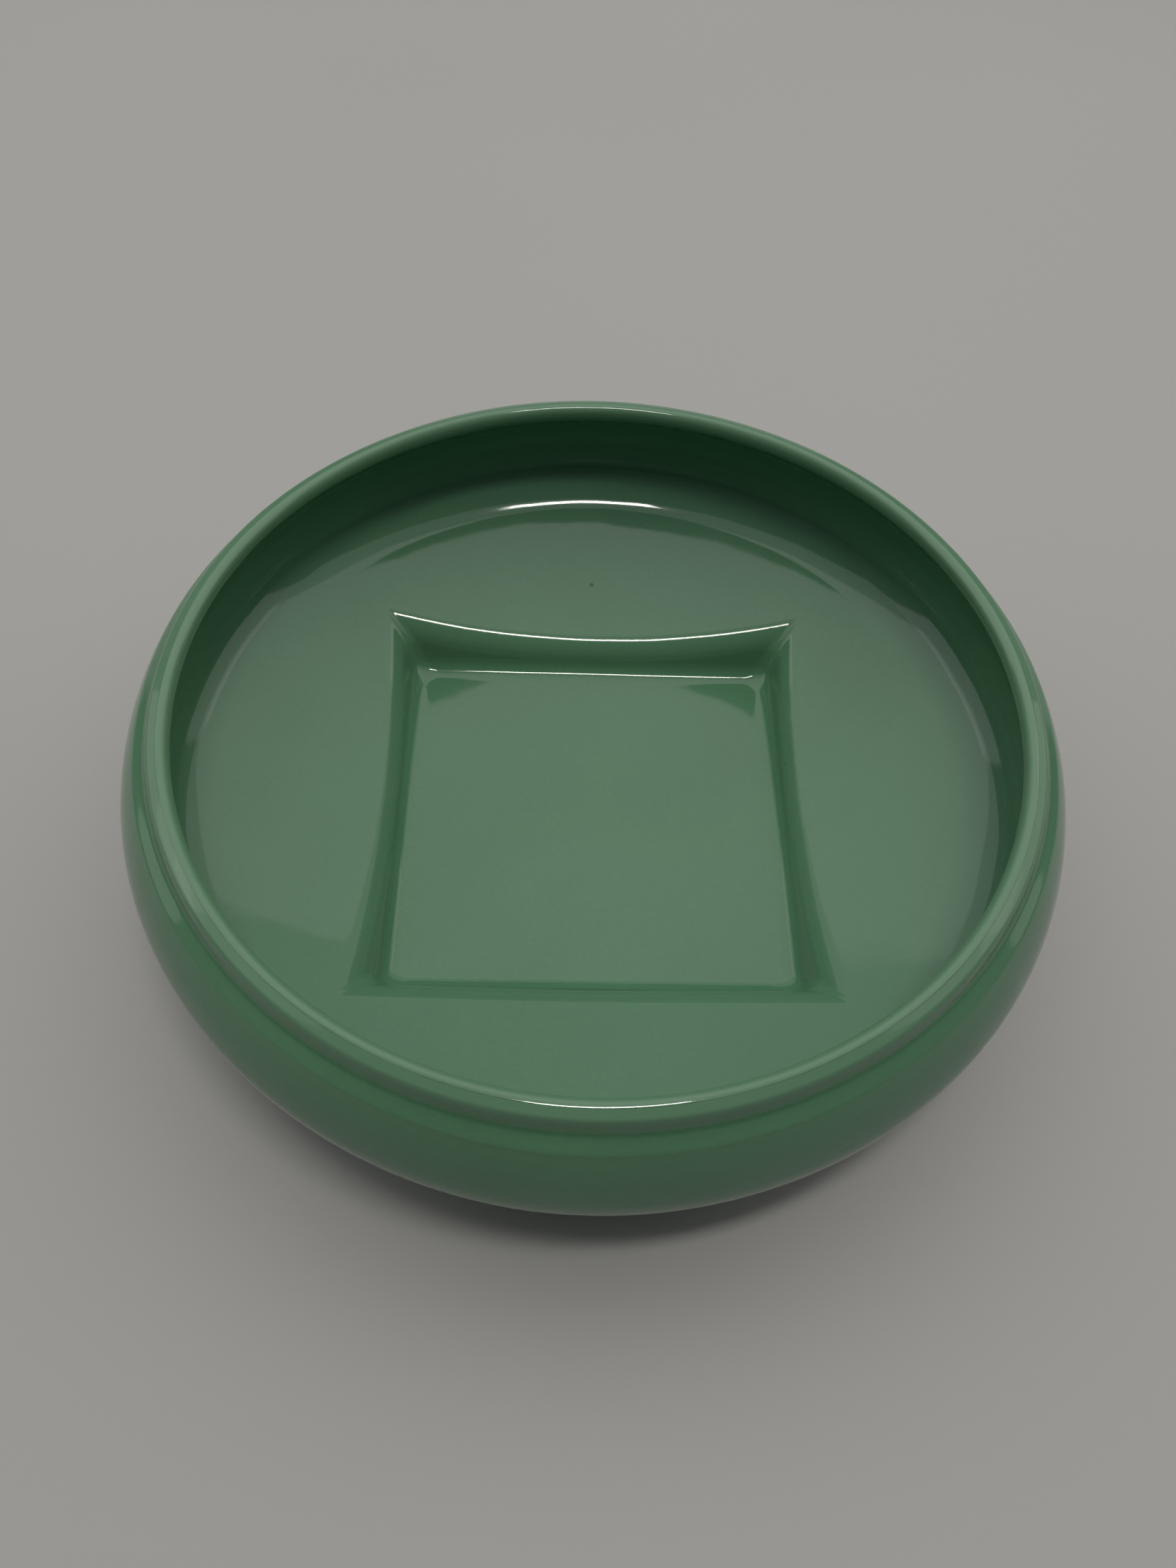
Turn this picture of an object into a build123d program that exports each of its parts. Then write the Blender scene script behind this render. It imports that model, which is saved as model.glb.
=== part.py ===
"""Low round glazed bowl with a turned-in rim and a square sunk well.

Everything is in millimetres, +Z up.  The origin is at the centre of the
square foot, on the surface that the bowl stands on, and the well is square
to X and Y.

The wall is one thickness all over, so its inner and outer surfaces, and the
clay under the glaze, are the same outline at different depths.  A depth is
measured outwards from the glazed inner surface: 0 is that surface and wall
is the glazed outer surface.
"""

from build123d import *
from math import acos, asin, cos, degrees, radians, sin, sqrt, tan
import os

# ---- Overall sizes ---------------------------------------------------------
bowl_radius = 100.0      # widest part of the belly
bowl_height = 58.0       # foot to crown of the lip
belly_height = 38.4      # height of the widest part
mouth_inset = 13.6       # how far the mouth's edge stands in from the belly

# ---- Wall ------------------------------------------------------------------
wall = 4.5               # thickness of the wall with its glaze
coat = 0.5               # thickness of the fired glaze

# ---- Section of the bowl ---------------------------------------------------
belly_round = 13.0       # outside radius of the belly
belly_turn = 15.0        # how far the belly turns in above its widest part
shoulder_round = 32.0    # outside radius of the shoulder
shoulder_turn = 36.0     # how far the wall has turned in at the shoulder's end
shoulder_end_round = 3.0 # rounding between the shoulder and the groove
haunch_round = 14.5      # inside radius between the dish and the belly
dish_low = 9.0           # height that the shallow dish would reach on the axis

# ---- Lip -------------------------------------------------------------------
lip_width = 4.3          # mouth to the outer edge of the lip
lip_slope = 21.5         # fall of the crown towards that edge, degrees
lip_round = 1.2          # rounding of the lip's inner edge
lip_outer_round = 1.5    # rounding of the lip's outer edge
neck_width = 4.7         # mouth to the bottom of the groove under the lip
neck_drop = 4.7          # crown to the bottom of the groove
neck_round = 2.0         # rounding in the groove
throat_round = 3.0       # rounding under the lip, inside

# ---- Square well -----------------------------------------------------------
well_half = 45.2         # half the side of the well, at its floor
well_floor = 7.0         # height of the well's floor
well_draft = 18.8        # lean of the well's walls, degrees
well_fillet = 3.4        # rounding round the floor
well_roll = 8.0          # rolled edge between the dish and the well

# ---- Square foot -----------------------------------------------------------
foot_corner = 5.0        # rounding of the upright corners
foot_rim = 5.0           # width of the bare rim that the bowl stands on
foot_recess = 2.5        # depth of the panel inside the rim
foot_edge = 1.0          # rounding of the rim's edges
glaze_line = 2.6         # height at which the outside glaze stops

# ---- Worked out from the sizes above ---------------------------------------
mouth_radius = bowl_radius - mouth_inset
belly_centre = (bowl_radius - belly_round, belly_height)
haunch_centre = (bowl_radius - wall - haunch_round, belly_height)
shoulder_step = shoulder_round - belly_round
shoulder_centre = (
    belly_centre[0] - shoulder_step * cos(radians(belly_turn)),
    belly_centre[1] - shoulder_step * sin(radians(belly_turn)),
)
dish_depth = belly_height - dish_low
dish_reach = (haunch_centre[0] ** 2 + (dish_depth - haunch_round) ** 2) / (
    2 * (dish_depth - haunch_round)
)
dish_round = dish_reach + haunch_round
dish_centre = (0, dish_low + dish_round)
dish_slope = degrees(asin(haunch_centre[0] / dish_reach))
draft_slope = tan(radians(well_draft))
draft_cos = cos(radians(well_draft))
block_top = belly_height * 0.7
crown_fall = tan(radians(lip_slope))
crown_lift = crown_fall + 1 / cos(radians(lip_slope))
crown_corner = bowl_height + lip_round * (crown_lift - 1)


def nearest(shapes, place):
    """The one of some corners or edges that lies nearest to a place."""
    return shapes.sort_by_distance(Vector(*place))[0]


def block_half(depth, height):
    """Half the side of the square block at a height, for a depth in the wall."""
    return well_half + (height - well_floor) * draft_slope + depth / draft_cos


def foot_block(depth):
    """The square foot with its leaning sides, for a depth in the wall."""
    side = 2 * block_half(depth, 0)
    with BuildPart(mode=Mode.PRIVATE) as block:
        with BuildSketch(Plane.XY):
            Rectangle(side, side)
        extrude(amount=block_top, taper=-well_draft)
        uprights = block.edges().group_by(Axis.Z)[1]
        fillet(uprights, foot_corner - wall + depth)
    return block.part


def section_arcs(depth, shoulder_end):
    """Dish, haunch, belly and shoulder at one depth, from the axis outwards."""
    dish = CenterArc(dish_centre, dish_round + depth, -90, dish_slope)
    CenterArc(haunch_centre, haunch_round + depth, dish_slope - 90, 90 - dish_slope)
    CenterArc(belly_centre, belly_round - wall + depth, 0, belly_turn)
    shoulder = CenterArc(
        shoulder_centre,
        shoulder_round - wall + depth,
        belly_turn,
        shoulder_end - belly_turn,
    )
    return dish @ 0, shoulder @ 1


def seam_edges(solid):
    """The loop where the foot's sides run into the round bowl."""
    reach = block_half(wall, belly_height)
    return [
        edge
        for edge in solid.edges()
        if edge.bounding_box().min.Z > foot_recess
        and edge.bounding_box().max.Z < block_top
        and abs(edge.center().X) < reach
        and abs(edge.center().Y) < reach
        and not edge.geom_type == GeomType.LINE
    ]


def envelope(inset):
    """All that lies inside the outer surface, inset from the glaze's face."""
    depth = wall - inset
    crown = crown_corner - inset * crown_lift
    mouth = (mouth_radius + inset, crown)
    edge = (
        mouth_radius + lip_width - inset,
        crown - (lip_width - 2 * inset) * crown_fall,
    )
    groove = (mouth_radius + neck_width - inset, bowl_height - neck_drop - inset)
    with BuildPart() as solid:
        with BuildSketch(Plane.XZ) as section:
            with BuildLine():
                start, end = section_arcs(depth, shoulder_turn)
                Polyline(end, groove, edge, mouth, (0, crown), start)
            make_face()
            turn = nearest(section.vertices(), (end.X, end.Y))
            fillet(turn, shoulder_end_round - inset)
            fillet(nearest(section.vertices(), groove), neck_round + inset)
            fillet(nearest(section.vertices(), edge), lip_outer_round - inset)
        revolve(axis=Axis.Z)
        add(foot_block(depth))
        fillet(seam_edges(solid), well_roll - depth)
    return solid.part


def trenched(depth):
    """The round hollow with one trench across its dish, at a depth in the wall.

    The trench has the well's floor and leaning sides, and runs along Y.
    """
    face = mouth_radius + depth
    upper_round = shoulder_round - wall + depth
    throat_turn = degrees(acos((face - shoulder_centre[0]) / upper_round))
    above = bowl_height + wall
    floor = well_floor - depth
    low = block_half(depth, floor)
    high = block_half(depth, block_top)
    with BuildPart() as hollow:
        with BuildSketch(Plane.XZ) as section:
            with BuildLine():
                start, end = section_arcs(depth, throat_turn)
                Polyline(end, (face, above), (0, above), start)
            make_face()
            fillet(nearest(section.vertices(), (end.X, end.Y)), throat_round - depth)
        revolve(axis=Axis.Z)
        with BuildSketch(Plane.XZ) as trench:
            with BuildLine():
                Polyline((low, floor), (high, block_top), (-high, block_top), (-low, floor))
                Line((-low, floor), (low, floor))
            make_face()
            fillet(trench.vertices().group_by(Axis.Y)[0], well_fillet + depth)
        extrude(amount=high + well_roll, both=True)
        lips = [
            edge
            for edge in hollow.edges()
            if low < abs(edge.bounding_box().center().X) < high
            and edge.geom_type != GeomType.LINE
        ]
        fillet(lips, well_roll - depth)
    return hollow.part


def cavity(depth):
    """The whole hollow: two trenches crossed, which leaves the square well."""
    run = trenched(depth)
    with BuildPart() as hollow:
        add(run)
        add(run.rotate(Axis.Z, 90), mode=Mode.INTERSECT)
    return hollow.part


def vessel(inset):
    """The whole bowl, inset from the glaze's face on every glazed surface."""
    with BuildPart() as bowl:
        add(envelope(inset))
        add(cavity(inset), mode=Mode.SUBTRACT)
        rings = bowl.edges().filter_by(GeomType.CIRCLE)
        fillet(rings.sort_by(Axis.Z)[-1], lip_round - inset)
    return bowl.part


# ---- The fired clay, with its bare foot ------------------------------------
recess_side = 2 * (block_half(wall - coat, 0) - foot_rim)
recess_corner = foot_corner / 2

with BuildPart() as clay_body:
    add(vessel(coat))
    with BuildSketch(Plane.XY):
        RectangleRounded(recess_side, recess_side, recess_corner)
    extrude(amount=foot_recess + coat, mode=Mode.SUBTRACT)
    rim_edges = clay_body.edges().group_by(Axis.Z)[0]
    fillet(rim_edges, foot_edge)

# ---- The glaze, which is one coat inside and one outside --------------------
with BuildPart() as inside_glaze:
    add(vessel(0))
    add(vessel(coat), mode=Mode.SUBTRACT)
    add(cavity(wall / 2), mode=Mode.INTERSECT)

with BuildPart() as outside_glaze:
    add(vessel(0))
    add(vessel(coat), mode=Mode.SUBTRACT)
    add(cavity(wall / 2), mode=Mode.SUBTRACT)
    with BuildSketch(Plane.XY):
        Rectangle(2 * bowl_radius, 2 * bowl_radius)
    extrude(amount=glaze_line, mode=Mode.SUBTRACT)

# ---- The glazed panel inside the foot --------------------------------------
with BuildPart() as base_glaze:
    with BuildSketch(Plane.XY.offset(foot_recess)):
        RectangleRounded(recess_side, recess_side, recess_corner)
    extrude(amount=coat)

# ---- Write the parts -------------------------------------------------------
parts = {
    "clay_body": clay_body,
    "inside_glaze": inside_glaze,
    "outside_glaze": outside_glaze,
    "base_glaze": base_glaze,
}
os.makedirs("parts", exist_ok=True)
for name, piece in parts.items():
    piece.part.label = name
    export_step(piece.part, f"parts/{name}.step")
    solids = piece.part.solids()
    print(name, len(solids), "solid", round(piece.part.volume), "cubic mm")
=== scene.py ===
"""Looks of a low round glazed bowl with a square sunk well.

The bowl is one pressed and fired body.  What is seen of it is its sea green
glaze, in one coat inside and one outside, the bare rim of its square foot
and the glazed panel inside that rim.  Lengths are in metres, +Z is up, and
the bowl stands on Z = 0 with its well square to X and Y.
"""

import math

import bpy
import numpy as np
from mathutils import Matrix, Vector


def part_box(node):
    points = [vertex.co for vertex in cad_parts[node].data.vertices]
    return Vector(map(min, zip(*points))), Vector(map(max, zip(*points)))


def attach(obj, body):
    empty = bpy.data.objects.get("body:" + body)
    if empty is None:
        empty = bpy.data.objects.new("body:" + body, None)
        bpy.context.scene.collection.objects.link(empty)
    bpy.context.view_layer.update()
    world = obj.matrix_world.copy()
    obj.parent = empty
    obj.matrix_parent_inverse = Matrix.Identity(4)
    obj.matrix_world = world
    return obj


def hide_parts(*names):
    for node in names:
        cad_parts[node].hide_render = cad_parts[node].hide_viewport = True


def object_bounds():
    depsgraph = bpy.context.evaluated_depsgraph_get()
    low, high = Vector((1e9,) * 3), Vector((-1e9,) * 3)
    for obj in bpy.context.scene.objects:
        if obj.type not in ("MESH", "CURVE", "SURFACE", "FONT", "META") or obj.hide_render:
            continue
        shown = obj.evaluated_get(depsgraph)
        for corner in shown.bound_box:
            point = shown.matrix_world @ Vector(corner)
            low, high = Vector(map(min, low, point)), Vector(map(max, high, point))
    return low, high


bl_info = {
    "name": "Low Glazed Bowl",
    "version": (1, 0, 0),
    "blender": (4, 5, 0),
    "location": "View3D > Sidebar > Bowl",
    "description": "Glaze, clay and stage for a low bowl with a square well",
    "category": "Object",
}

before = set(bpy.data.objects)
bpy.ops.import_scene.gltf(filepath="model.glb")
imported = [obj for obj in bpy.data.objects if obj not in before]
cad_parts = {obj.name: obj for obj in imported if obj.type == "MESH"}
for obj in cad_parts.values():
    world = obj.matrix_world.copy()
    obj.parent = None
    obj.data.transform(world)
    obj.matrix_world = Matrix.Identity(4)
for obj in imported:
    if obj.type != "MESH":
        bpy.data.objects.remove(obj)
CAD_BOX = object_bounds()
GLAZE_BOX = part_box("outside_glaze")

AROUND_SIDE = 96          # steps along each side of the square
CORNER_DENSE = 0.36       # how much closer the steps are at the corners
INSIDE_STEPS = (44, 10)   # rings over well floor and dish: glaze face, clay side
OUTSIDE_STEPS = (26, 8)   # rings under the dish: glaze face, clay side
HIDDEN = np.s_[::3]       # rings kept on the side of the glaze that meets the clay
SOLVE_TURNS = 12          # repeats in which the roll's reach settles
SHARP_EDGE = 50           # degrees between faces that stay crisp

LONG_WAVE, LONG_SEED = 0.085, 0.7     # slow unevenness of the clay
SHORT_WAVE, SHORT_SEED = 0.031, 2.9   # quick unevenness of the clay
STILL_BAND = 0.006                    # height over which it fades at the glaze line

FULL_BEND = 300.0         # radians a metre, near which glaze is at its thinnest, and the painted highlight and painted shade at full strength
SHORTEST_STEP = 2e-5      # shortest step that a bend is measured over
BEND_AVERAGES = 40        # passes that smooth the bend from ring to ring

GLAZE_NAME = "Sea green glaze"

FLOOR_HALF = 4.0
SKY_TINT = (0.93, 0.97, 1.0, 1.0)
# Name, place, what it points at, width and depth, watts and colour of each lamp.
LAMPS = (
    ("ceiling", (0, 1.1, 1.15), (0, 1.1, 0), (3.6, 2.0), 12.5, (1.0, 0.99, 0.97)),
    ("overhead", (0, 0.42, 1.2), (0, 0.42, 0), (3.2, 1.5), 7.2, (1.0, 0.99, 0.97)),
    ("left wall", (-1.25, 0.35, 0.62), (0, 0, 0.03), (0.9, 0.7), 1.3, (1.0, 1.0, 1.0)),
    ("right wall", (1.25, 0.35, 0.62), (0, 0, 0.03), (0.9, 0.7), 1.2, (1.0, 0.96, 0.9)),
    ("strip", (0.05, -0.19, 1.13), (0, 0, 0.03), (0.34, 0.09), 2.8, (1.0, 0.97, 0.92)),
)


# ---- Curves ----------------------------------------------------------------
def arc(centre, radius, start, end, steps):
    """Points of a circle: centre + radius * (cos a, sin a), a from start to end."""
    a = np.radians(np.linspace(start, end, steps + 1))
    return np.stack([centre[0] + radius * np.cos(a), centre[1] + radius * np.sin(a)], -1)


def line(start, end, steps):
    """Points of a straight line: start + (end - start) * t, t from 0 to 1."""
    t = np.linspace(0, 1, steps + 1)[:, None]
    return np.asarray(start) + (np.asarray(end) - np.asarray(start)) * t


def rounded(before, corner, after, radius, steps):
    """Arc of a radius that touches two straight lines which meet at a corner.

    The tangent points are radius / tan(half the angle) from the corner, and
    the centre lies on the bisector.
    """
    before, corner, after = (np.asarray(p, float) for p in (before, corner, after))
    u = (before - corner) / np.linalg.norm(before - corner)
    v = (after - corner) / np.linalg.norm(after - corner)
    half = math.acos(float(np.clip(u @ v, -1, 1))) / 2
    centre = corner + (u + v) / np.linalg.norm(u + v) * radius / math.sin(half)
    first = corner + u * radius / math.tan(half) - centre
    last = corner + v * radius / math.tan(half) - centre
    start = math.degrees(math.atan2(first[1], first[0]))
    turn = (math.degrees(math.atan2(last[1], last[0])) - start + 180) % 360 - 180
    return arc(centre, radius, start, start + turn, steps)


def joined(*runs):
    """One line of points from several that follow on, without repeated ends."""
    return np.concatenate([runs[0]] + [run[1:] for run in runs[1:]])


def eased(values, times):
    """A line of numbers smoothed by repeated averaging with its neighbours."""
    for _ in range(times):
        ends = np.concatenate([values[:1], values, values[-1:]])
        values = (ends[:-2] + 2 * values + ends[2:]) / 4
    return values


# ---- The section of the bowl ------------------------------------------------
class Section:
    """Outline of the bowl at one depth in its wall.

    Depth 0 is the glazed inner surface and depth wall is the glazed outer
    one.  Each arc keeps its centre and its radius grows by the depth.
    """

    def __init__(self, size, depth):
        self.size, self.depth = size, depth
        self.belly = (size.bowl_radius - size.belly_round, size.belly_height)
        self.haunch = (
            size.bowl_radius - size.wall - size.haunch_round,
            size.belly_height,
        )
        step = size.shoulder_round - size.belly_round
        turn = math.radians(size.belly_turn)
        self.shoulder = (
            self.belly[0] - step * math.cos(turn),
            self.belly[1] - step * math.sin(turn),
        )
        rise = size.belly_height - size.dish_low - size.haunch_round
        reach = (self.haunch[0] ** 2 + rise**2) / (2 * rise)
        self.dish_round = reach + size.haunch_round
        self.dish_top = size.dish_low + self.dish_round
        self.slope = math.degrees(math.asin(self.haunch[0] / reach))
        self.mouth = size.bowl_radius - size.mouth_inset
        self.fall = math.tan(math.radians(size.lip_slope))
        lift = self.fall + 1 / math.cos(math.radians(size.lip_slope))
        self.lift = lift
        self.crown = size.bowl_height + size.lip_round * (lift - 1)

    def dish_edge(self):
        """Radius at which the dish runs into the haunch."""
        return (self.dish_round + self.depth) * math.sin(math.radians(self.slope))

    def inner(self, seam):
        """From the edge of the dish, up the inside and over to the lip's seam."""
        s, d = self.size, self.depth
        face = self.mouth + d
        upper = s.shoulder_round - s.wall + d
        throat = s.throat_round - d
        reach = upper + throat
        across = face + throat - self.shoulder[0]
        rise = math.sqrt(reach**2 - across**2)
        centre = (face + throat, self.shoulder[1] + rise)
        turn = math.degrees(math.acos(across / reach))
        corner = (face, self.crown - d * self.lift)
        seam_point = (seam, corner[1] - (seam - face) * self.fall)
        edge = rounded((face, 0), corner, seam_point, s.lip_round - d, 10)
        return joined(
            arc(self.haunch, s.haunch_round + d, self.slope - 90, 0, 34),
            arc(self.belly, s.belly_round - s.wall + d, 0, s.belly_turn, 5),
            arc(self.shoulder, upper, s.belly_turn, turn, 16),
            arc(centre, throat, 180 + turn, 180, 8),
            line((face, centre[1]), edge[0], 2),
            edge,
            line(edge[-1], seam_point, 2),
        )

    def outer(self, seam):
        """From the lip's seam, over the lip, the groove and the belly to the dish."""
        s, d = self.size, self.depth
        inset = s.wall - d
        crown = self.crown - inset * self.lift
        mouth = (self.mouth + inset, crown)
        edge = (
            self.mouth + s.lip_width - inset,
            crown - (s.lip_width - 2 * inset) * self.fall,
        )
        groove = (
            self.mouth + s.neck_width - inset,
            s.bowl_height - s.neck_drop - inset,
        )
        radius = s.shoulder_round - inset
        turn = math.radians(s.shoulder_turn)
        end = np.array(self.shoulder) + radius * np.array([math.cos(turn), math.sin(turn)])
        small = s.shoulder_end_round - inset
        along = np.array(groove) - end
        along /= np.linalg.norm(along)
        below = np.array([along[1], -along[0]])
        below = below if below[1] < 0 else -below
        base = end + below * small - np.array(self.shoulder)
        back = base @ along
        slide = -back - math.sqrt(back**2 - base @ base + (radius - small) ** 2)
        centre = end + below * small + along * slide
        tip = centre - np.array(self.shoulder)
        first = math.degrees(math.atan2(tip[1], tip[0]))
        last = math.degrees(math.atan2(-below[1], -below[0]))
        seam_point = (seam, crown - (seam - mouth[0]) * self.fall)
        over = rounded(seam_point, edge, groove, s.lip_outer_round - inset, 10)
        under = rounded(edge, groove, end, s.neck_round + inset, 10)
        shoulder_end = arc(centre, small, last, first, 7)
        return joined(
            line(seam_point, over[0], 2),
            over,
            line(over[-1], under[0], 2),
            under,
            line(under[-1], shoulder_end[0], 2),
            shoulder_end,
            arc(self.shoulder, radius, first, s.belly_turn, 14),
            arc(self.belly, s.belly_round - inset, s.belly_turn, 0, 8),
            arc(self.haunch, s.haunch_round + d, 0, self.slope - 90, 36),
        )

    def block(self, height):
        """Half the side of the square block at a height."""
        s = self.size
        lean = math.radians(s.well_draft)
        return (
            s.well_half
            + (height - s.well_floor) * math.tan(lean)
            + self.depth / math.cos(lean)
        )


# ---- The square that turns into a circle ------------------------------------
def bearings():
    """Bearings of the points of a ring, from a corner on, closest together
    at the corners: 45 degrees * ((1 + k) s - k s^3) on each side of the
    square, s from -1 to 1."""
    s = np.linspace(-1, 1, AROUND_SIDE, endpoint=False)
    side = math.pi / 4 * ((1 + CORNER_DENSE) * s - CORNER_DENSE * s**3)
    return np.concatenate([side + k * math.pi / 2 for k in range(4)])


def square_place(bearing):
    """The side that a bearing meets, as its outward direction, and how far
    along that side it lies, from -1 at one mitre to 1 at the next."""
    quarter = np.floor(bearing / (math.pi / 2) + 0.5 + 1e-9)
    along = np.tan(bearing - quarter * math.pi / 2)
    out = np.stack([np.cos(quarter * math.pi / 2), np.sin(quarter * math.pi / 2)], -1)
    return np.round(out), along


def square_rings(bearing, reach, heights, corner):
    """Square rings with rounded corners: reach is the distance from the axis
    to the side, corner the rounding; each is rings by points.

    A point's bearing stays.  Where it meets the rounding, it lies at
    m (cos + sin) + sqrt(corner^2 - m^2 (cos - sin)^2) from the axis, with
    m = reach - corner and the sine and cosine of its bearing from the side.
    """
    out, along = square_place(bearing)
    beside = np.stack([-out[:, 1], out[:, 0]], -1)
    cos = 1 / np.sqrt(1 + along**2)
    sin = np.abs(along) * cos
    m = reach - corner
    bend = np.sqrt(np.maximum(corner**2 - (m * (cos - sin)) ** 2, 0))
    inside = np.abs(along) * reach > m
    reach = np.where(inside, (m * (cos + sin) + bend) * cos, reach)
    flat = reach[..., None] * (out + along[:, None] * beside)
    return np.concatenate([flat, heights[..., None]], -1)


def round_rings(bearing, outline):
    """The outline turned about Z: (r cos b, r sin b, z) at each bearing b."""
    r, z = outline[:, :1], outline[:, 1:]
    return np.stack(
        [r * np.cos(bearing), r * np.sin(bearing), z + 0 * bearing], -1
    )


def seam_roll(section, beside, base, radius):
    """Centre, and start and end angles, of the roll between a leaning side
    and the dish, in the upright plane at a distance beside the axis.

    In that plane the dish is a circle about the axis.  The roll touches both,
    from below the dish and from beyond the side.
    """
    lean = math.radians(section.size.well_draft)
    along = np.array([math.sin(lean), math.cos(lean)])
    normal = np.array([math.cos(lean), -math.sin(lean)])
    top = np.array([0, section.dish_top])
    start = np.array(base) + normal * radius
    dish = np.sqrt((section.dish_round + section.depth) ** 2 - beside**2)
    back, gap = (start - top) @ along, (start - top) @ (start - top)
    slide = -back - np.sqrt(back**2 - gap + (dish + radius) ** 2)
    centre = start + slide[..., None] * along
    up = top - centre
    first = math.degrees(math.atan2(-normal[1], -normal[0]))
    return centre, first, np.degrees(np.arctan2(up[..., 1], up[..., 0]))


def rolled_square(section, bearing, base, radius, steps, corner):
    """Rings of the roll: centre + radius * (cos a, sin a), a from the leaning
    side to the dish.  The reach and the distance beside the axis are found
    together, in a few turns, so that the sides meet at their mitres; the
    corners' rounding fades out towards the dish."""
    _, along = square_place(bearing)
    share = np.linspace(0, 1, steps + 1)[:, None]
    reach = np.full((steps + 1, len(bearing)), float(base[0]))
    for _ in range(SOLVE_TURNS):
        centre, first, last = seam_roll(section, reach * along, base, radius)
        a = np.radians(first + (last - first) * share)
        reach = centre[..., 0] + radius * np.cos(a)
    heights = centre[..., 1] + radius * np.sin(a)
    return square_rings(bearing, reach, heights, corner * (1 - share) + 1e-6)


def dish_rings(section, bearing, edge, steps):
    """Rings from the roll out to the dish's edge, all on the dish's sphere.

    The radius grows evenly along each bearing, and the height is
    dish_top - sqrt(dish_round^2 - radius^2).
    """
    near = np.hypot(edge[:, 0], edge[:, 1])
    t = np.linspace(0, 1, steps + 1)[:, None]
    r = near[None] + (section.dish_edge() - near[None]) * t
    radius = section.dish_round + section.depth
    z = section.dish_top - np.sqrt(radius**2 - r**2)
    return np.stack([r * np.cos(bearing), r * np.sin(bearing), z], -1)


def inside_surface(size, depth, seam, fine):
    """Inside of the bowl at a depth: well floor, fillet, leaning wall, roll,
    dish, haunch, belly, throat and lip.  Returns rings by points by 3."""
    section, bearing = Section(size, depth), bearings()
    lean = math.radians(size.well_draft)
    floor = size.well_floor - depth
    foot = section.block(floor)
    small = size.well_fillet + depth
    middle = foot + small * math.tan(lean) - small / math.cos(lean)
    ones = np.ones(len(bearing))
    scale = np.linspace(0, 1, fine + 1)[1:, None] * ones
    corner = size.well_corner + depth
    floor_rings = square_rings(
        bearing, middle * scale, np.full_like(scale, floor), corner * scale
    )
    bend = arc((middle, floor + small), small, -90, -size.well_draft, 10)
    fillet_rings = square_rings(
        bearing, bend[:, :1] * ones, bend[:, 1:] * ones, corner
    )
    radius = size.well_roll - depth
    rolled = rolled_square(section, bearing, (foot, floor), radius, 16, corner)
    start, end = fillet_rings[-1], rolled[0]
    t = np.linspace(0, 1, 7)[:, None, None]
    wall_rings = start[None] + (end - start)[None] * t
    return joined(
        floor_rings,
        fillet_rings,
        wall_rings,
        rolled,
        dish_rings(section, bearing, rolled[-1], fine),
        round_rings(bearing, section.inner(seam)),
    )


def outside_surface(size, depth, seam, fine, line_height):
    """Outside of the bowl at a depth, from the lip's seam down over the
    groove and the belly, under the bowl and down the foot to a height."""
    section, bearing = Section(size, depth), bearings()
    radius = size.well_roll - depth
    corner = size.foot_corner - size.wall + depth
    base = (section.block(0), 0)
    rolled = rolled_square(section, bearing, base, radius, 8, corner)[::-1]
    low = np.full((1, len(bearing)), section.block(line_height))
    foot = square_rings(bearing, low, np.full_like(low, line_height), corner)
    t = np.linspace(0, 1, 7)[:, None, None]
    side = rolled[-1][None] + (foot[0] - rolled[-1])[None] * t
    return joined(
        round_rings(bearing, section.outer(seam)),
        dish_rings(section, bearing, rolled[0], fine)[::-1],
        rolled,
        side,
    )


# ---- Unevenness of a pressed and glazed bowl --------------------------------
def ripple(points, wave, seed):
    """A smooth uneven field from -1 to 1: the mean of sines of
    (direction . point) / wave, in directions spread over a sphere."""
    k = np.arange(9) + 0.5
    up = 1 - 2 * k / 9
    turn = math.pi * (1 + math.sqrt(5)) * k + seed
    flat = np.sqrt(1 - up**2)
    ways = np.stack([flat * np.cos(turn), flat * np.sin(turn), up], -1)
    stretch = 1 + 0.35 * np.sin(2.3 * k + seed)
    phase = points @ (ways * stretch[:, None]).T * (2 * math.pi / wave)
    return np.sin(phase + 5.1 * k + seed).mean(-1)


def uneven(rings, size):
    """Rings moved up and down and in and out by soft ripples of the clay."""
    r = np.hypot(rings[..., 0], rings[..., 1])[..., None]
    out = np.concatenate([rings[..., :2] / np.maximum(r, 1e-6), 0 * r], -1)
    fade = np.clip((rings[..., 2:] - size.glaze_line) / STILL_BAND, 0, 1)
    long = ripple(rings, LONG_WAVE, LONG_SEED)[..., None]
    short = ripple(rings, SHORT_WAVE, SHORT_SEED)[..., None]
    lift = np.array([0.0, 0.0, 1.0])
    push = out * long * fade * size.wobble
    return rings + push + lift * (long * 0.3 + short * 0.35) * fade * size.wobble


# ---- Meshes ------------------------------------------------------------------
def grid_faces(rings, points, wrap):
    """Quads between neighbouring rings, closed round each ring, and from the
    last ring to the first where wrap is true."""
    i = np.arange(rings if wrap else rings - 1)[:, None]
    j = np.arange(points)[None]
    a, b = i * points + j, i * points + (j + 1) % points
    up = (i + 1) % rings
    c, d = up * points + (j + 1) % points, up * points + j
    return np.stack([a, d, c, b], -1).reshape(-1, 4)


def fan_faces(ring_start, points, pole, flipped):
    """Triangles between a ring and a pole, facing up, or down where flipped."""
    j = np.arange(points)
    a, b = ring_start + j, ring_start + (j + 1) % points
    hub = np.full(points, pole)
    return np.stack([hub, b, a] if flipped else [hub, a, b], -1)


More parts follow.
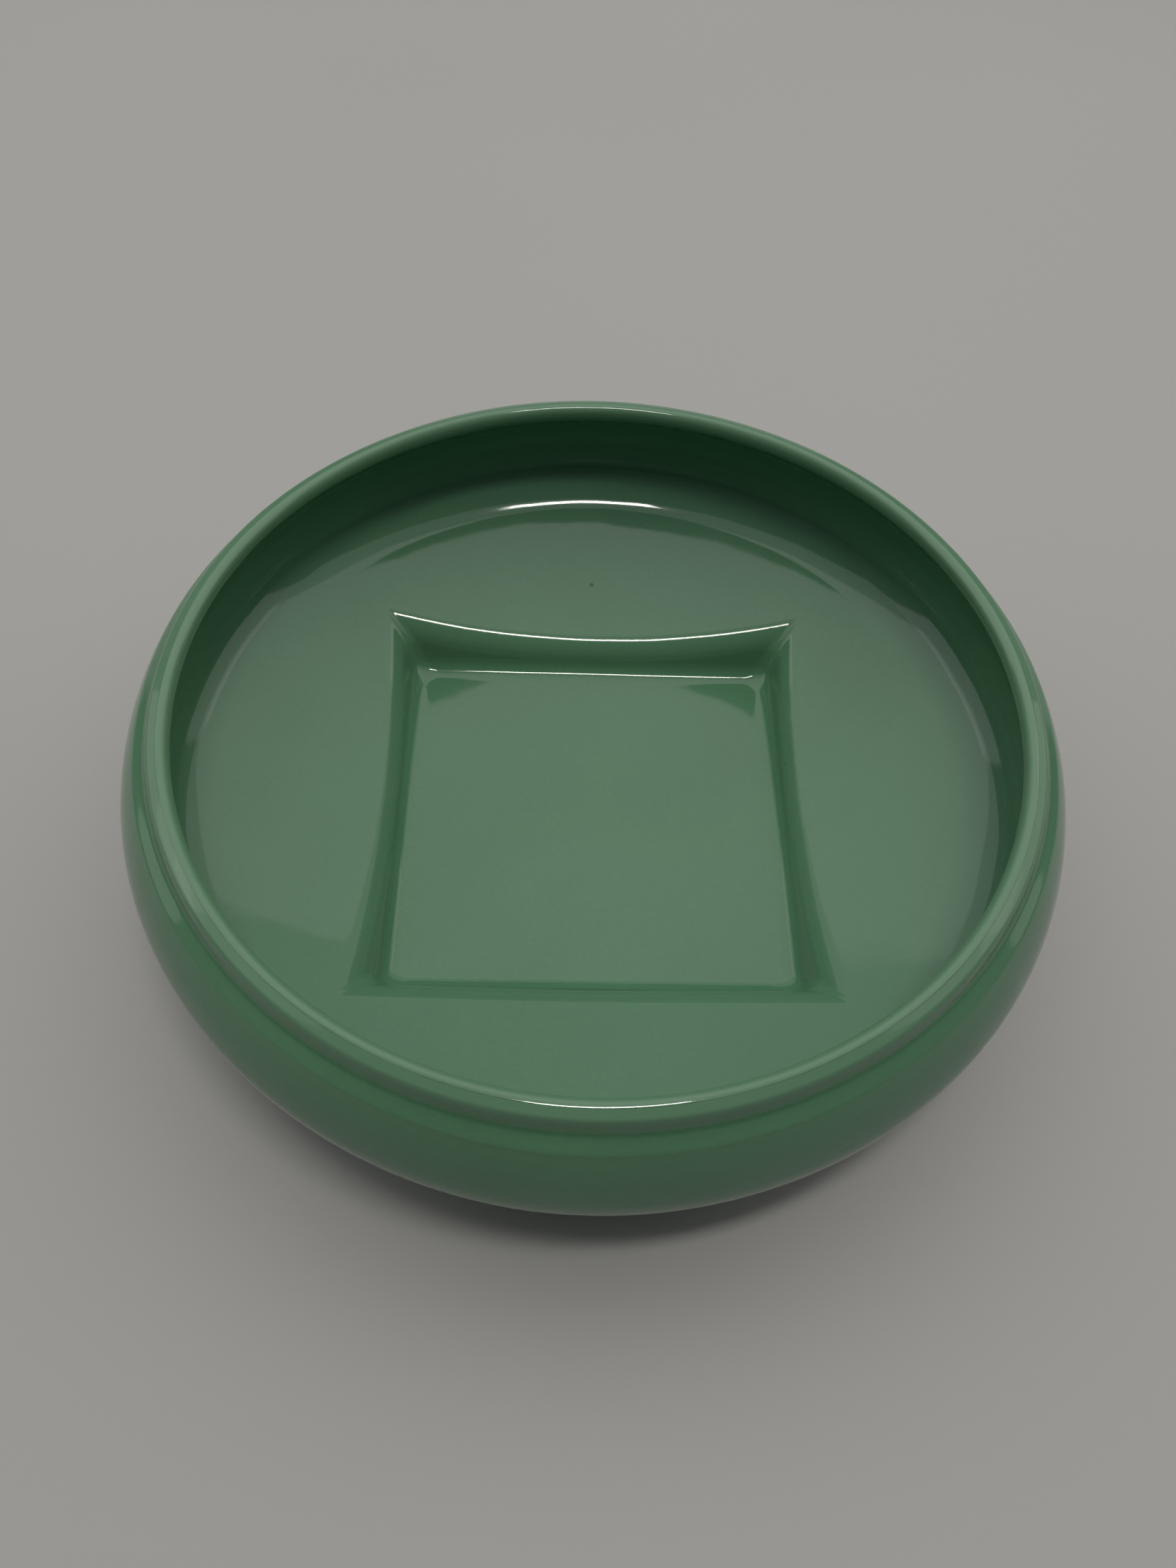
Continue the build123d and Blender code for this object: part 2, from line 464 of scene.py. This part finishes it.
def new_piece(name, rings, thin, wrap, material):
    """A closed mesh from rings by points by 3, with its own object.

    Without wrap, the first and last rings are closed by a pole at their
    middle.  thin says, ring by ring, where the glaze has run thin or gathered,
    and so where the glaze gets its painted highlight and painted shade.
    """
    count, around = rings.shape[:2]
    verts = rings.reshape(-1, 3)
    quads = grid_faces(count, around, wrap)
    thin = np.repeat(thin, around)
    fans = np.zeros((0, 3), int)
    if not wrap:
        verts = np.concatenate([verts, rings[:1].mean(1), rings[-1:].mean(1)])
        fans = np.concatenate([
            fan_faces(0, around, count * around, False),
            fan_faces((count - 1) * around, around, count * around + 1, True),
        ])
        thin = np.concatenate([thin, thin[:1], thin[-1:]])
    mesh = bpy.data.meshes.new(name)
    mesh.from_pydata(verts.tolist(), [], quads.tolist() + fans.tolist())
    mesh.validate()
    mesh.polygons.foreach_set("use_smooth", np.ones(len(mesh.polygons), bool))
    mesh.set_sharp_from_angle(angle=math.radians(SHARP_EDGE))
    layer = mesh.attributes.new("glaze_run_and_painted_light", "FLOAT", "POINT")
    layer.data.foreach_set("value", thin.astype(np.float32))
    mesh.materials.append(material)
    piece = bpy.data.objects.new(name, mesh)
    bpy.context.scene.collection.objects.link(piece)
    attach(piece, "root")
    return piece


def run_of_glaze_and_painted_light(rings):
    """Ring by ring, how far the surface is bulged or hollowed, from -1 to 1.

    It is the turn of the outline at each ring, averaged over the ring and
    smoothed: glaze runs thin over a bulge and gathers in a hollow, and the
    glaze's colour also paints a highlight over a bulge and shade in a hollow.
    """
    step = np.diff(rings, axis=0)
    size = np.linalg.norm(step, axis=-1, keepdims=True)
    step = step / np.maximum(size, 1e-9)
    side = np.diff(rings, axis=1, append=rings[:, :1])[1:-1]
    bend = np.cross(step[:-1], step[1:])
    sign = np.sign((bend * side).sum(-1))
    length = (size[:-1, :, 0] + size[1:, :, 0]) / 2
    turn = np.linalg.norm(bend, axis=-1) * sign / np.maximum(length, SHORTEST_STEP)
    turn = np.concatenate([[0], turn.mean(-1), [0]])
    return np.tanh(eased(turn / FULL_BEND, BEND_AVERAGES))


# ---- Materials ---------------------------------------------------------------
class Wire:
    """A socket that Python's operators can reckon with."""

    def __init__(self, shader, socket):
        self.shader, self.socket = shader, socket

    def _maths(self, operation, *values):
        return self.shader.node(
            "ShaderNodeMath", {"operation": operation}, dict(enumerate(values))
        )

    def __add__(self, other):
        return self._maths("ADD", self, other)

    def __sub__(self, other):
        return self._maths("SUBTRACT", self, other)

    def __mul__(self, other):
        return self._maths("MULTIPLY", self, other)

    def __rsub__(self, other):
        return self._maths("SUBTRACT", other, self)

    __radd__, __rmul__ = __add__, __mul__

    def ramp(self, low, high, to_low=0.0, to_high=1.0):
        """This value carried smoothly from low..high to to_low..to_high."""
        return self.shader.node(
            "ShaderNodeMapRange",
            {"interpolation_type": "SMOOTHSTEP"},
            {0: self, 1: low, 2: high, 3: to_low, 4: to_high},
        )


class Shader:
    """The nodes of one material, ending in a Principled surface."""

    def __init__(self, name):
        self.material = bpy.data.materials.new(name)
        self.material.use_nodes = True
        self.tree = self.material.node_tree
        self.surface = self.tree.nodes["Principled BSDF"]
        self.place = self.node("ShaderNodeTexCoord", {}, {}, "Object")

    def node(self, kind, settings, values, output=0):
        """Adds a node of a kind, with its settings and its sockets' values."""
        made = self.tree.nodes.new(kind)
        for key, value in settings.items():
            setattr(made, key, value)
        for key, value in values.items():
            self.connect(made.inputs[key], value)
        return Wire(self, made.outputs[output])

    def connect(self, socket, value):
        if isinstance(value, Wire):
            self.tree.links.new(value.socket, socket)
        else:
            socket.default_value = value

    def noise(self, scale, detail=3.0, rough=0.5):
        return self.node(
            "ShaderNodeTexNoise",
            {},
            {"Vector": self.place, "Scale": scale, "Detail": detail, "Roughness": rough},
        )

    def cells(self, scale, output="Distance"):
        return self.node(
            "ShaderNodeTexVoronoi", {}, {"Vector": self.place, "Scale": scale}, output
        )

    def first(self, wire):
        """The first channel of a colour, as a number."""
        return self.node("ShaderNodeSeparateColor", {}, {0: wire}, 0)

    def mix(self, share, first, second):
        return self.node(
            "ShaderNodeMix",
            {"data_type": "RGBA"},
            {"Factor": share, 6: first, 7: second},
            2,
        )

    def bump(self, height, distance, strength, normal=None):
        values = {"Height": height, "Distance": distance, "Strength": strength}
        if normal is not None:
            values["Normal"] = normal
        return self.node("ShaderNodeBump", {}, values)

    def finish(self, colour, rough, normal, **constants):
        """Wires the surface and sets the values that are the same all over it."""
        self.connect(self.surface.inputs["Base Color"], colour)
        self.connect(self.surface.inputs["Roughness"], rough)
        self.connect(self.surface.inputs["Normal"], normal)
        for key, value in constants.items():
            self.surface.inputs[key.replace("_", " ")].default_value = value
        return self.material


def shade(colour, factor):
    """A colour made lighter or darker by a factor."""
    return tuple(c * factor for c in colour[:3]) + (1.0,)


def specks(shader, scale, share, size):
    """1 inside round specks: one Voronoi cell in share holds one of a size."""
    chosen = shader.first(shader.cells(scale, output="Color")).ramp(
        1 - share, 1 - share + 0.01
    )
    inside = shader.cells(scale).ramp(size * scale * 0.6, size * scale, 1.0, 0.0)
    return chosen * inside


def sea_green_glaze(look):
    """Glossy opaque glaze: soft clouds, a thicker and deeper tone in hollows
    that is partly pooled glaze and partly painted shade, a paler one over edges
    that is partly thin glaze and partly a painted highlight, a few iron specks,
    pinholes with painted shade inside them, and a faintly rippled surface."""
    s = Shader(GLAZE_NAME)
    body = look.glaze
    cloud = s.noise(22.0, 4.0, 0.55)
    veil = s.noise(9.0, 2.0)
    grain = s.noise(900.0, 2.0)
    # How far each ring bulges or hollows: drives glaze run, painted highlight and painted
    # shade.
    run = s.node("ShaderNodeAttribute", {"attribute_name": "glaze_run_and_painted_light"}, {}, "Fac")
    colour = s.mix(cloud.ramp(0.3, 0.7), shade(body, 0.955), shade(body, 1.04))
    colour = s.mix(veil.ramp(0.42, 0.68, 0.0, 0.35), colour, tuple(look.glaze_cool))
    # Paler over bulges and edges: partly glaze run thin, partly a painted highlight.
    colour = s.mix(run.ramp(0.05, 0.9, 0.0, 0.45), colour, tuple(look.thin_glaze_and_highlight))
    # Darker in hollows such as under the rim: partly pooled glaze, partly painted shade.
    colour = s.mix(run.ramp(-0.05, -0.9, 0.0, 0.55), colour, tuple(look.pooled_glaze_and_shade))
    colour = s.mix(grain.ramp(0.35, 0.7, 0.0, 0.16), colour, shade(body, 1.25))
    iron = specks(s, 62.0, 0.05, 0.00075)
    fine_iron = specks(s, 190.0, 0.035, 0.0003)
    colour = s.mix(iron * 0.8, colour, tuple(look.iron))
    colour = s.mix(fine_iron * 0.7, colour, tuple(look.iron))
    pinholes = specks(s, 130.0, 0.012, 0.00045)
    # Painted shade: the glaze darkened inside each pinhole.
    colour = s.mix(pinholes * 0.55, colour, shade(body, 0.45))
    swell = s.noise(44.0, 1.0, 0.4)
    peel = s.noise(260.0, 2.0, 0.5)
    normal = s.bump(swell, 0.0010, look.swell)
    normal = s.bump(peel, 0.00016, look.peel, normal)
    normal = s.bump(1 - pinholes, 0.0002, 0.6, normal)
    rough = cloud.ramp(0.3, 0.75, look.gloss * 0.85, look.gloss * 1.2)
    rough = rough + iron * 0.2
    return s.finish(colour, rough, normal, IOR=1.52)


def bare_clay(look):
    """Fired stoneware: warm grey with fine sand, darker grains, a tan flush
    in patches and a dry, gritty surface."""
    s = Shader("Fired clay")
    clay = look.clay
    patch = s.noise(35.0, 4.0, 0.6)
    sand = s.noise(1400.0, 3.0, 0.6)
    colour = s.mix(patch.ramp(0.35, 0.7), shade(clay, 0.9), shade(clay, 1.08))
    colour = s.mix(patch.ramp(0.55, 0.8, 0.0, 0.5), colour, tuple(look.flush))
    colour = s.mix(sand.ramp(0.4, 0.75, 0.0, 0.3), colour, shade(clay, 1.35))
    grains = specks(s, 420.0, 0.12, 0.00045)
    colour = s.mix(grains * 0.7, colour, shade(clay, 0.4))
    normal = s.bump(patch, 0.0008, 0.35)
    normal = s.bump(sand, 0.00025, 0.6, normal)
    rough = sand.ramp(0.2, 0.8, 0.72, 0.92)
    return s.finish(colour, rough, normal, IOR=1.45)


def floor_paint(look):
    """Matt pale sheet with the faintest tooth."""
    s = Shader("Pale floor")
    tone = s.noise(3.0, 2.0)
    tooth = s.noise(500.0, 2.0)
    colour = s.mix(tone.ramp(0.3, 0.7), shade(look.floor, 0.985), shade(look.floor, 1.01))
    normal = s.bump(tooth, 0.0002, 0.15)
    return s.finish(colour, tone.ramp(0.2, 0.8, 0.62, 0.7), normal)


# ---- Sizes and colours that can be changed -----------------------------------
def length(name, description, default):
    return bpy.props.FloatProperty(
        name=name, description=description, default=default, unit="LENGTH", precision=4
    )


def number(name, description, default):
    return bpy.props.FloatProperty(
        name=name, description=description, default=default, precision=3
    )


def tint(name, description, default):
    return bpy.props.FloatVectorProperty(
        name=name,
        description=description,
        default=default + (1.0,),
        size=4,
        subtype="COLOR",
        min=0.0,
        max=1.0,
    )


class BowlSize(bpy.types.PropertyGroup):
    """Sizes of the bowl, with the soft roundings that its glaze has"""

    bowl_radius: length("Bowl radius", "Widest part of the belly", CAD_BOX[1].x)
    bowl_height: length("Bowl height", "Foot to crown of the lip", CAD_BOX[1].z)
    belly_height: length("Belly height", "Height of the widest part", 0.0384)
    mouth_inset: length("Mouth inset", "Belly to the mouth's edge", 0.0136)
    wall: length("Wall", "Thickness with glaze", 0.0045)
    coat: length("Coat", "Thickness of the glaze", 0.0005)
    belly_round: length("Belly round", "Outside radius of the belly", 0.013)
    belly_turn: number("Belly turn", "Turn of the belly, degrees", 15.0)
    shoulder_round: length("Shoulder round", "Outside radius of the shoulder", 0.032)
    shoulder_turn: number("Shoulder turn", "Turn at the shoulder's end, degrees", 36.0)
    shoulder_end_round: length("Shoulder end", "Shoulder to groove rounding", 0.003)
    haunch_round: length("Haunch round", "Inside radius, dish to belly", 0.0145)
    dish_low: length("Dish low", "Height of the dish on the axis", 0.009)
    lip_width: length("Lip width", "Mouth to the lip's outer edge", 0.0043)
    lip_slope: number("Lip slope", "Fall of the crown, degrees", 21.5)
    lip_round: length("Lip round", "Rounding of the inner edge", 0.0017)
    lip_outer_round: length("Lip outer round", "Rounding of the outer edge", 0.0015)
    neck_width: length("Neck width", "Mouth to the groove", 0.0054)
    neck_drop: length("Neck drop", "Crown to the groove", 0.0039)
    neck_round: length("Neck round", "Rounding in the groove", 0.0024)
    throat_round: length("Throat round", "Rounding under the lip inside", 0.003)
    well_half: length("Well half", "Half the well's side at its floor", 0.0452)
    well_floor: length("Well floor", "Height of the well's floor", 0.007)
    well_draft: number("Well draft", "Lean of the well's walls, degrees", 18.8)
    well_corner: length("Well corner", "Rounding of the upright corners", 0.0036)
    foot_corner: length("Foot corner", "Rounding of the foot's corners", 0.005)
    well_fillet: length("Well fillet", "Rounding round the floor", 0.0046)
    well_roll: length("Well roll", "Rolled edge of the well", 0.008)
    glaze_line: length("Glaze line", "Where the outside glaze stops", GLAZE_BOX[0].z)
    wobble: length("Wobble", "Unevenness of the pressed clay", 0.00016)


class BowlLook(bpy.types.PropertyGroup):
    """Colours and finishes"""

    glaze: tint("Glaze", "Body colour of the glaze", (0.094, 0.222, 0.123))
    glaze_cool: tint("Cool veil", "Bluer clouds in the glaze", (0.092, 0.205, 0.135))
    # Partly the colour of pooled glaze, partly painted shade in hollows.
    pooled_glaze_and_shade: tint("Deep glaze", "Where the glaze has gathered", (0.05, 0.18, 0.078))
    # Partly the colour of glaze run thin, partly a painted highlight over edges.
    thin_glaze_and_highlight: tint("Thin glaze", "Where the glaze has run thin", (0.16, 0.28, 0.18))
    iron: tint("Iron", "Iron specks", (0.05, 0.03, 0.015))
    clay: tint("Clay", "Bare fired clay", (0.44, 0.37, 0.29))
    flush: tint("Flush", "Warm flush on bare clay", (0.42, 0.25, 0.14))
    floor: tint("Floor", "Pale floor", (0.46, 0.452, 0.438))
    gloss: number("Gloss", "Roughness of the glaze", 0.07)
    swell: number("Swell", "Strength of the long ripples", 0.30)
    peel: number("Peel", "Strength of the fine ripples", 0.08)


class StageSetup(bpy.types.PropertyGroup):
    """Camera and lights"""

    reach: length("Reach", "Camera to the middle of the mouth", 0.24257)
    drop: length("Drop", "Middle of the mouth below the crown", 0.0013)
    azimuth: number("Azimuth", "Camera round the bowl, degrees", -3.469)
    elevation: number("Elevation", "Camera above the level, degrees", 50.983)
    pan: number("Pan", "Camera turned right, degrees", -0.3055)
    tilt: number("Tilt", "Camera turned up, degrees", -4.758)
    roll: number("Roll", "Camera rolled, degrees", 3.925)
    lens: number("Lens", "Focal length, mm on a 36 mm frame", 27.03)
    sky: number("Sky", "Strength of the light from all round", 0.07)


# ---- Pieces ------------------------------------------------------------------
class BOWL_OT_inside_glaze(bpy.types.Operator):
    """Coat of glaze over the well, the dish, the inner wall and half the lip"""

    bl_idname = "bowl.inside_glaze"
    bl_label = "Inside glaze"

    def execute(self, context):
        size, look = context.scene.bowl_size, context.scene.bowl_look
        seam = size.bowl_radius - size.mouth_inset + size.wall / 2
        fine, coarse = INSIDE_STEPS
        front = uneven(inside_surface(size, 0.0, seam, fine), size)
        back = inside_surface(size, size.coat, seam, coarse)[::-1][HIDDEN]
        rings = np.concatenate([front, back])
        run = np.concatenate([run_of_glaze_and_painted_light(front), np.zeros(len(back))])
        material = sea_green_glaze(look)
        piece = new_piece("inside_coat", rings, run, False, material)
        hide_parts("inside_glaze")
        return {"FINISHED"}


class BOWL_OT_outside_glaze(bpy.types.Operator):
    """Coat of glaze over the lip, the groove, the belly and the foot's sides"""

    bl_idname = "bowl.outside_glaze"
    bl_label = "Outside glaze"

    def execute(self, context):
        size = context.scene.bowl_size
        seam = size.bowl_radius - size.mouth_inset + size.wall / 2
        edge = size.glaze_line
        fine, coarse = OUTSIDE_STEPS
        front = uneven(outside_surface(size, size.wall, seam, fine, edge), size)
        clay_side = outside_surface(size, size.wall - size.coat, seam, coarse, edge)
        back = clay_side[::-1][HIDDEN]
        rings = np.concatenate([front, back])
        run = np.concatenate([run_of_glaze_and_painted_light(front), np.zeros(len(back))])
        material = bpy.data.materials[GLAZE_NAME]
        piece = new_piece("outside_coat", rings, run, True, material)
        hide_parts("outside_glaze")
        return {"FINISHED"}


class BOWL_OT_foot(bpy.types.Operator):
    """Bare clay of the foot's rim and the glazed panel inside it"""

    bl_idname = "bowl.foot"
    bl_label = "Foot"

    def execute(self, context):
        look = context.scene.bowl_look
        for node, material in (
            ("clay_body", bare_clay(look)),
            ("base_glaze", bpy.data.materials[GLAZE_NAME]),
        ):
            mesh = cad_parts[node].data
            mesh.materials.clear()
            mesh.materials.append(material)
        return {"FINISHED"}


class BOWL_OT_stage(bpy.types.Operator):
    """Pale floor, soft lights and the camera"""

    bl_idname = "bowl.stage"
    bl_label = "Stage"

    def execute(self, context):
        look, setup = context.scene.bowl_look, context.scene.bowl_stage
        ways = ((-1, -1), (1, -1), (1, 1), (-1, 1))
        corners = [(FLOOR_HALF * x, FLOOR_HALF * y, CAD_BOX[0].z) for x, y in ways]
        mesh = bpy.data.meshes.new("floor")
        mesh.from_pydata(corners, [], [(0, 1, 2, 3)])
        mesh.materials.append(floor_paint(look))
        floor = bpy.data.objects.new("floor", mesh)
        context.scene.collection.objects.link(floor)
        world = bpy.data.worlds.new("Soft room")
        world.use_nodes = True
        sky = world.node_tree.nodes["Background"]
        sky.inputs["Color"].default_value = SKY_TINT
        sky.inputs["Strength"].default_value = setup.sky
        context.scene.world = world
        for name, place, aim, spread, watts, colour in LAMPS:
            lamp = bpy.data.lights.new(name, "AREA")
            lamp.shape = "RECTANGLE"
            lamp.size, lamp.size_y = spread
            lamp.energy, lamp.color = watts, colour
            holder = bpy.data.objects.new(name, lamp)
            holder.location = place
            way = Vector(aim) - Vector(place)
            holder.rotation_euler = way.to_track_quat("-Z", "Y").to_euler()
            context.scene.collection.objects.link(holder)
        place_camera(context.scene, setup)
        context.scene.view_settings.view_transform = "Standard"
        return {"FINISHED"}


def swung(first, second, angle):
    """Two directions at right angles, turned in their plane by an angle in
    degrees: first cos a + second sin a, second cos a - first sin a."""
    c, s = math.cos(math.radians(angle)), math.sin(math.radians(angle))
    return first * c + second * s, second * c - first * s


def place_camera(scene, setup):
    """Camera on a sphere round the middle of the mouth, looking at it, then
    turned right, up and about its own axis."""
    e = math.radians(setup.elevation)
    back = Vector((0, -math.cos(e), math.sin(e)))
    forward, right = -back, Vector((1, 0, 0))
    up = right.cross(forward)
    forward, right = swung(forward, right, setup.pan)
    forward, up = swung(forward, up, setup.tilt)
    right, up = swung(right, up, setup.roll)
    stand = Matrix.Rotation(math.radians(setup.azimuth), 4, "Z")
    turned = Matrix((right, up, -forward)).transposed().to_4x4()
    middle = Matrix.Translation((0, 0, CAD_BOX[1].z - setup.drop))
    camera = bpy.data.objects.new("camera", bpy.data.cameras.new("camera"))
    camera.data.lens = setup.lens
    camera.data.sensor_width = 36.0
    camera.data.clip_start = 0.01
    camera.matrix_world = middle @ stand @ Matrix.Translation(back * setup.reach) @ turned
    scene.collection.objects.link(camera)
    scene.camera = camera


class BOWL_PT_panel(bpy.types.Panel):
    """Makes the bowl's pieces one by one"""

    bl_label = "Low glazed bowl"
    bl_idname = "BOWL_PT_panel"
    bl_space_type = "VIEW_3D"
    bl_region_type = "UI"
    bl_category = "Bowl"

    def draw(self, context):
        for group in ("bowl_size", "bowl_look", "bowl_stage"):
            box = self.layout.box()
            holder = getattr(context.scene, group)
            for key in type(holder).__annotations__:
                box.prop(holder, key)
        for piece in PIECES:
            self.layout.operator(piece.bl_idname)


PIECES = (
    BOWL_OT_inside_glaze,
    BOWL_OT_outside_glaze,
    BOWL_OT_foot,
    BOWL_OT_stage,
)
CLASSES = (BowlSize, BowlLook, StageSetup, BOWL_PT_panel) + PIECES


def register():
    for cls in CLASSES:
        bpy.utils.register_class(cls)
    bpy.types.Scene.bowl_size = bpy.props.PointerProperty(type=BowlSize)
    bpy.types.Scene.bowl_look = bpy.props.PointerProperty(type=BowlLook)
    bpy.types.Scene.bowl_stage = bpy.props.PointerProperty(type=StageSetup)


def unregister():
    for name in ("bowl_size", "bowl_look", "bowl_stage"):
        delattr(bpy.types.Scene, name)
    for cls in reversed(CLASSES):
        bpy.utils.unregister_class(cls)


def main():
    """Makes every piece."""
    register()
    bpy.ops.bowl.inside_glaze()
    bpy.ops.bowl.outside_glaze()
    bpy.ops.bowl.foot()
    bpy.ops.bowl.stage()


if __name__ == "__main__":
    main()
